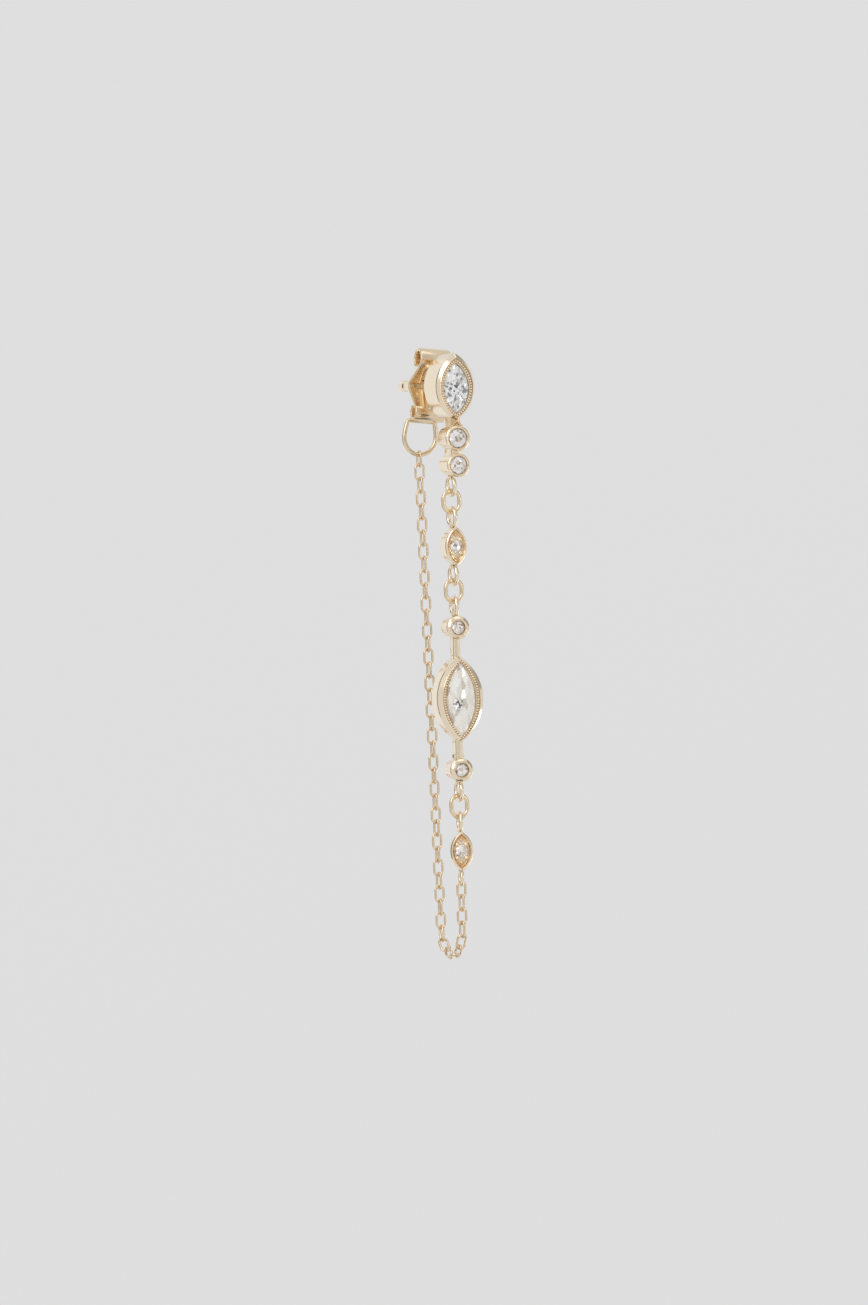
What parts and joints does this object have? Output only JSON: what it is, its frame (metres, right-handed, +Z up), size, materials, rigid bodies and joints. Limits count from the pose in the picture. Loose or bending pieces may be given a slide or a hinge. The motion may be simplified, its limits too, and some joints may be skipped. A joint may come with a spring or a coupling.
{
  "type": "chain earring",
  "caption": "Drop earring: marquise bezel stud with ear post, jump linked stations set with stones, and a fine cable chain from the lowest station to the D ring of the friction back.",
  "frame": {"origin": "on the ear post's axis, where the post leaves the back of the stud and the ear begins", "axes": "+Z up along the hanging line, +Y backwards along the ear post and away from the viewer, -Y the way the stones face, X across the front"},
  "size_m": [0.004, 0.011, 0.046],
  "materials": {
    "gold": "polished yellow gold",
    "stone": "clear cut stone"
  },
  "bodies": {
    "root": {"stud_setting": "gold", "stud_marquise_stone": "stone", "stud_round_stone_1": "stone", "stud_round_stone_2": "stone", "butterfly_back": "gold", "jump_link_1": "gold", "jump_link_2": "gold", "jump_link_3": "gold", "small_marquise_1": "gold", "small_marquise_stone_1": "stone", "main_station": "gold", "main_round_stone_1": "stone", "big_marquise_stone": "stone", "main_round_stone_2": "stone", "small_marquise_2": "gold", "small_marquise_stone_2": "stone", "cable_chain": "gold"}
  },
  "joints": []
}
